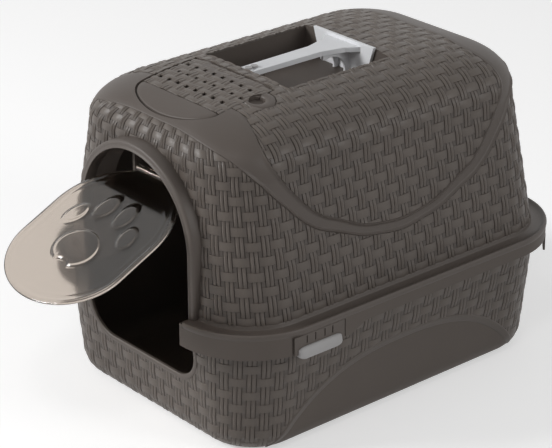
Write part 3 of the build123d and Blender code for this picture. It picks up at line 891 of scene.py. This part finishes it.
def makePad():
    s = padShape
    nx, ny = s["nx"], s["ny"]
    u, v = np.meshgrid(np.linspace(-1, 1, nx), np.linspace(-1, 1, ny), indexing="ij")
    full = (1 - np.abs(u) ** 10) * (1 - np.abs(v) ** 7)
    pull = 1 - 0.025 * (u * v) ** 2
    x, y = u * s["half"][0] * pull, s["centreY"] + v * s["half"][1] * pull
    lumps = 0.35 * np.sin(x * 0.31) * np.sin(y * 0.37) + 0.2 * np.sin(x * 0.83 + 1) * np.sin(y * 0.71)
    crown = (s["thickness"] - s["edge"]) * full ** 0.45 + 0.6 + lumps * full
    top = np.stack([x, y, s["bottom"] + crown], -1)
    under = np.stack([x, y, np.full_like(x, s["bottom"])], -1)
    rim = [i * ny for i in range(nx)] + [(nx - 1) * ny + j for j in range(1, ny)]
    rim += [i * ny + ny - 1 for i in range(nx - 2, -1, -1)] + list(range(ny - 2, 0, -1))
    return facedOut(meshPiece("charcoalPad", *closedSheet(top, under, quadsOf(nx, ny), rim), 60))


# Materials
finish = {
    # the second and third colours are painted light on the weave's proud straps and cords and painted shade
    # in its slots
    "brown": (0.088, 0.072, 0.062), "strap": (0.114, 0.095, 0.081), "slotShadePaint": (0.016, 0.013, 0.011),
    "brownRoughness": 0.42, "brownBump": 0.10, "grey": (0.80, 0.81, 0.83), "lipGrey": (0.38, 0.37, 0.37),
    "smoke": (0.56, 0.485, 0.42), "steel": (0.62, 0.61, 0.60), "plasticShine": 0.38,
    "padDark": (0.006, 0.006, 0.007), "padLight": (0.035, 0.034, 0.034),
}


def setInputs(node, values):
    for key, value in values.items():
        node.inputs[key].default_value = value


def addNode(tree, kind, at, inputs=None, **values):
    node = tree.nodes.new(kind)
    node.location = at
    for key, value in values.items():
        setattr(node, key, value)
    setInputs(node, inputs or {})
    return node


def joinUp(tree, *wires):
    # each wire is a node, its output, another node and its input
    for start, output, end, socket in wires:
        tree.links.new(start.outputs[output], end.inputs[socket])


def buildGrainGroup():
    # moulded plastic: fine spark-eroded grain and a slow drift of tone
    group = bpy.data.node_groups.new("mouldGrain", "ShaderNodeTree")
    for label, way, kind in (("Fineness", "INPUT", "Float"), ("Color", "INPUT", "Color"),
                             ("Base Roughness", "INPUT", "Float"), ("Color", "OUTPUT", "Color"),
                             ("Roughness", "OUTPUT", "Float"), ("Height", "OUTPUT", "Float")):
        group.interface.new_socket(name=label, in_out=way, socket_type="NodeSocket" + kind)
    start, end = addNode(group, "NodeGroupInput", (-900, 0)), addNode(group, "NodeGroupOutput", (600, 0))
    where = addNode(group, "ShaderNodeTexCoord", (-900, -300))
    scaled = addNode(group, "ShaderNodeVectorMath", (-700, -200), operation="SCALE")
    fine = addNode(group, "ShaderNodeTexNoise", (-480, -100), {"Scale": 900, "Detail": 3})
    slow = addNode(group, "ShaderNodeTexNoise", (-480, -380), {"Scale": 9, "Detail": 4})
    drift = addNode(group, "ShaderNodeMapRange", (-260, -380),
                    {"From Min": 0.3, "From Max": 0.7, "To Min": 0.93, "To Max": 1.07})
    tone = addNode(group, "ShaderNodeVectorMath", (0, 60), operation="SCALE")
    rough = addNode(group, "ShaderNodeMath", (0, -200), {1: 0.12}, operation="MULTIPLY_ADD")
    joinUp(group, (where, "Object", scaled, 0), (start, "Fineness", scaled, "Scale"),
           (scaled, 0, fine, "Vector"), (scaled, 0, slow, "Vector"), (slow, "Fac", drift, "Value"),
           (start, "Color", tone, 0), (drift, "Result", tone, "Scale"), (tone, 0, end, "Color"),
           (fine, "Fac", rough, 0), (start, "Base Roughness", rough, 2), (rough, 0, end, "Roughness"),
           (fine, "Fac", end, "Height"))
    return group


grainGroup = buildGrainGroup()


def startMaterial(name):
    material = bpy.data.materials.new(name)
    material.use_nodes = True
    return material, material.node_tree, material.node_tree.nodes["Principled BSDF"]


def grainedPlastic(name, color, roughness, fineness, bump, woven=False):
    material, tree, shader = startMaterial(name)
    grain = addNode(tree, "ShaderNodeGroup", (-520, 0), node_tree=grainGroup)
    setInputs(grain, {"Fineness": fineness, "Color": (*color, 1), "Base Roughness": roughness})
    if woven:
        # painted shade: dark in the slots; painted light: lighter where straps and cords stand proud
        lift = addNode(tree, "ShaderNodeAttribute", (-1000, 120), attribute_name="lift")
        ramp = addNode(tree, "ShaderNodeValToRGB", (-800, 120))
        stops = ramp.color_ramp.elements
        stops[0].position, stops[0].color = 0.10, (*finish["slotShadePaint"], 1)
        stops[1].position, stops[1].color = 1.0, (*finish["strap"], 1)
        stops.new(0.42).color = (*finish["brown"], 1)
        joinUp(tree, (lift, "Fac", ramp, "Fac"), (ramp, "Color", grain, "Color"))
    relief = addNode(tree, "ShaderNodeBump", (-260, -260), {"Strength": bump, "Distance": 0.0006})
    joinUp(tree, (grain, "Height", relief, "Height"), (grain, "Color", shader, "Base Color"),
           (grain, "Roughness", shader, "Roughness"), (relief, "Normal", shader, "Normal"))
    shader.inputs["Specular IOR Level"].default_value = finish["plasticShine"]
    return material


def smokyClear():
    material, tree, shader = startMaterial("smokyClear")
    setInputs(shader, {"Base Color": (*finish["smoke"], 1), "Transmission Weight": 1.0, "IOR": 1.46})
    where = addNode(tree, "ShaderNodeTexCoord", (-900, 0))
    haze = addNode(tree, "ShaderNodeTexNoise", (-700, 0), {"Scale": 14})
    spread = addNode(tree, "ShaderNodeMapRange", (-480, 0), {"To Min": 0.05, "To Max": 0.13})
    joinUp(tree, (where, "Object", haze, "Vector"), (haze, "Fac", spread, "Value"),
           (spread, "Result", shader, "Roughness"))
    return material


def steelMaterial():
    # drawn along its length
    material, tree, shader = startMaterial("steelRod")
    setInputs(shader, {"Base Color": (*finish["steel"], 1), "Metallic": 1.0})
    where = addNode(tree, "ShaderNodeTexCoord", (-900, 0))
    stretch = addNode(tree, "ShaderNodeMapping", (-720, 0), {"Scale": (40, 1500, 1500)})
    drawn = addNode(tree, "ShaderNodeTexNoise", (-540, 0), {"Scale": 1})
    spread = addNode(tree, "ShaderNodeMapRange", (-340, 0), {"To Min": 0.22, "To Max": 0.45})
    joinUp(tree, (where, "Object", stretch, "Vector"), (stretch, "Vector", drawn, "Vector"),
           (drawn, "Fac", spread, "Value"), (spread, "Result", shader, "Roughness"))
    return material


def padMaterial():
    material, tree, shader = startMaterial("charcoalFelt")
    where = addNode(tree, "ShaderNodeTexCoord", (-900, 0))
    pores = addNode(tree, "ShaderNodeTexVoronoi", (-680, 60), {"Scale": 620})
    fibres = addNode(tree, "ShaderNodeTexNoise", (-680, -220), {"Scale": 1400, "Detail": 5})
    mixed = addNode(tree, "ShaderNodeMath", (-440, -60), operation="ADD")
    tone = addNode(tree, "ShaderNodeValToRGB", (-440, 200))
    tone.color_ramp.elements[0].color = (*finish["padDark"], 1)
    tone.color_ramp.elements[1].color = (*finish["padLight"], 1)
    relief = addNode(tree, "ShaderNodeBump", (-220, -200), {"Strength": 0.7, "Distance": 0.0012})
    joinUp(tree, (where, "Object", pores, "Vector"), (where, "Object", fibres, "Vector"),
           (pores, "Distance", mixed, 0), (fibres, "Fac", mixed, 1), (mixed, 0, relief, "Height"),
           (fibres, "Fac", tone, "Fac"), (tone, "Color", shader, "Base Color"),
           (relief, "Normal", shader, "Normal"))
    shader.inputs["Roughness"].default_value = 0.95
    return material


brown, rough, bump = finish["brown"], finish["brownRoughness"], finish["brownBump"]
wovenBrown = grainedPlastic("wovenBrown", brown, rough - 0.04, 1.0, bump, woven=True)
plainBrown = grainedPlastic("plainBrown", brown, rough, 1.0, bump)
insideBrown = grainedPlastic("insideBrown", brown, 0.55, 0.8, bump)
handleGrey = grainedPlastic("handleGrey", finish["grey"], 0.42, 0.9, 0.08)
clipGrey = grainedPlastic("clipGrey", finish["lipGrey"], 0.40, 0.9, 0.08)
clearSmoke = smokyClear()
rodSteel = steelMaterial()
padFelt = padMaterial()
print("materials made")


def paint(obj, material):
    obj.data.materials.clear()
    obj.data.materials.append(material)


def softenEdges(obj, width):
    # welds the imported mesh's split points and rounds its hard edges
    weld = obj.modifiers.new("weld", "WELD")
    weld.merge_threshold = 0.00002
    bevel = obj.modifiers.new("softEdge", "BEVEL")
    bevel.width = width
    bevel.segments = 3
    bevel.limit_method = "ANGLE"
    bevel.angle_limit = math.radians(35)
    bevel.use_clamp_overlap = True
    bevel.harden_normals = False


nodePaint = {
    "tray": insideBrown, "hood": insideBrown, "filter_cover": plainBrown, "flap_rod": rodSteel,
    "handle": handleGrey, "handle_pegs": clipGrey, "latch_tab_left": plainBrown,
    "latch_tab_right": plainBrown, "latch_clip_left": clipGrey, "latch_clip_right": clipGrey,
    "flap": clearSmoke, "filter_pad": padFelt,
}
for nodeName, material in nodePaint.items():
    paint(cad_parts[nodeName], material)
for nodeName, width in {"handle": 0.0009, "handle_pegs": 0.0005}.items():
    softenEdges(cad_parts[nodeName], width)


def addPiece(obj, body, material, replaced=None):
    paint(obj, material)
    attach(obj, body)
    if replaced:
        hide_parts(replaced)
    return obj


for name, hoodNet in zip(("hoodWeaveSides", "hoodWeaveFront", "hoodWeaveBack"), hoodNets):
    addPiece(makeHoodWeave(name, hoodNet), "hood", wovenBrown)
for make in (makeHoodBand, makeHoodRim, makeCollarTrim, makeNotchRing):
    addPiece(make(), "hood", plainBrown)
print("hood weave and trims")
addPiece(makeCoverWeave(), "filter_cover", wovenBrown)
addPiece(makeCoverNose(), "filter_cover", plainBrown)
print("filter cover")
addPiece(makeTrayWeave(), "tray", wovenBrown)
for side in (-1, 1):
    addPiece(makeTrayBorder(side), "tray", plainBrown)
addPiece(makeDipLip(), "tray", plainBrown)
print("tray")
addPiece(makeFlap(), "flap", clearSmoke, "flap")
charcoalPad = addPiece(makePad(), "hood", padFelt, "filter_pad")
for side, word in ((-1, "left"), (1, "right")):
    addPiece(makeLatchLip(side), "latch_" + word, clipGrey, "latch_clip_" + word)
print("flap, pad and latches")


# Studio: pale floor and backdrop, soft lamps, camera
studio = {
    "floorSize": 30.0, "floorColor": (0.80, 0.80, 0.80), "floorGlow": 0.46, "worldStrength": 0.22,
    # place, size in metres and power in watts
    "lamps": {
        "keyLamp": ((-1.7, -2.7, 1.7), 1.2, 80.0), "fillLamp": ((2.7, 0.9, 1.5), 1.2, 20.0),
        "rearLamp": ((0.2, 0.8, 2.8), 1.2, 1.0), "cornerLamp": ((1.2, -1.5, 2.6), 0.5, 6.0),
    },
    "azimuth": 48.8, "elevation": 23.8, "distance": 2.590, "targetZ": 0.190,
    "focalPixels": 2272.0, "imageWidth": 552, "sensorWidth": 36.0, "axisPixel": (28.0, -22.4),
}


def seenWhite(tree):
    # 1 where the camera, a reflection or a ray through glass looks at the surroundings
    path = addNode(tree, "ShaderNodeLightPath", (-700, -200))
    first = addNode(tree, "ShaderNodeMath", (-500, -200), operation="MAXIMUM")
    both = addNode(tree, "ShaderNodeMath", (-340, -200), operation="MAXIMUM")
    joinUp(tree, (path, "Is Camera Ray", first, 0), (path, "Is Glossy Ray", first, 1),
           (first, 0, both, 0), (path, "Is Transmission Ray", both, 1))
    return both


def makeFloor():
    half = studio["floorSize"] / 2
    mesh = bpy.data.meshes.new("floor")
    corners = [(-half, -half, 0), (half, -half, 0), (half, half, 0), (-half, half, 0)]
    mesh.from_pydata(corners, [], [(0, 1, 2, 3)])
    floor = intoScene(bpy.data.objects.new("floor", mesh))
    material, tree, shader = startMaterial("paleFloor")
    setInputs(shader, {"Base Color": (*studio["floorColor"], 1), "Roughness": 0.9,
                       "Specular IOR Level": 0.1, "Emission Color": (1, 1, 1, 1)})
    glow = addNode(tree, "ShaderNodeMath", (-180, -200), {1: studio["floorGlow"]}, operation="MULTIPLY")
    joinUp(tree, (seenWhite(tree), 0, glow, 0), (glow, 0, shader, "Emission Strength"))
    paint(floor, material)
    floor.location.z = -0.0002


def makeWorld():
    world = bpy.data.worlds.new("studioWorld")
    bpy.context.scene.world = world
    world.use_nodes = True
    tree = world.node_tree
    tree.nodes.clear()
    out = addNode(tree, "ShaderNodeOutputWorld", (400, 0))
    white = (1, 1, 1, 1)
    dim, full = {"Color": white, "Strength": studio["worldStrength"]}, {"Color": white, "Strength": 1.0}
    light = addNode(tree, "ShaderNodeBackground", (0, 100), dim)
    shown = addNode(tree, "ShaderNodeBackground", (0, -100), full)
    mix = addNode(tree, "ShaderNodeMixShader", (200, 0))
    joinUp(tree, (seenWhite(tree), 0, mix, "Fac"), (light, 0, mix, 1), (shown, 0, mix, 2),
           (mix, 0, out, "Surface"))


def addLamp(name, place, size, power):
    data = bpy.data.lights.new(name, "AREA")
    data.shape = "DISK"
    data.size = size
    data.energy = power
    lamp = intoScene(bpy.data.objects.new(name, data))
    lamp.location = place
    toward = Vector((0, 0, 0.2)) - Vector(place)
    lamp.rotation_euler = toward.to_track_quat("-Z", "Y").to_euler()


def makeCamera():
    s = studio
    az, el = math.radians(s["azimuth"]), math.radians(s["elevation"])
    out = Vector((math.sin(az) * math.cos(el), -math.cos(az) * math.cos(el), math.sin(el)))
    data = bpy.data.cameras.new("photoCamera")
    camera = intoScene(bpy.data.objects.new("photoCamera", data))
    camera.location = Vector((0, 0, s["targetZ"])) + out * s["distance"]
    data.sensor_width = s["sensorWidth"]
    data.lens = s["sensorWidth"] * s["focalPixels"] / s["imageWidth"]
    data.clip_end = 100
    straight = (-out).to_track_quat("-Z", "Y")
    # turns the view so that the object sits off the middle, as it does in the photograph
    dx, dy = s["axisPixel"]
    aim = straight @ Vector((-dx, dy, -s["focalPixels"]))
    camera.rotation_mode = "QUATERNION"
    camera.rotation_quaternion = (-out).rotation_difference(aim.normalized()) @ straight
    bpy.context.scene.camera = camera


makeFloor()
makeWorld()
for lampName, lampValues in studio["lamps"].items():
    addLamp(lampName, *lampValues)
makeCamera()
bpy.context.scene.view_settings.view_transform = "Standard"
print("studio ready")

bpy.context.view_layer.update()
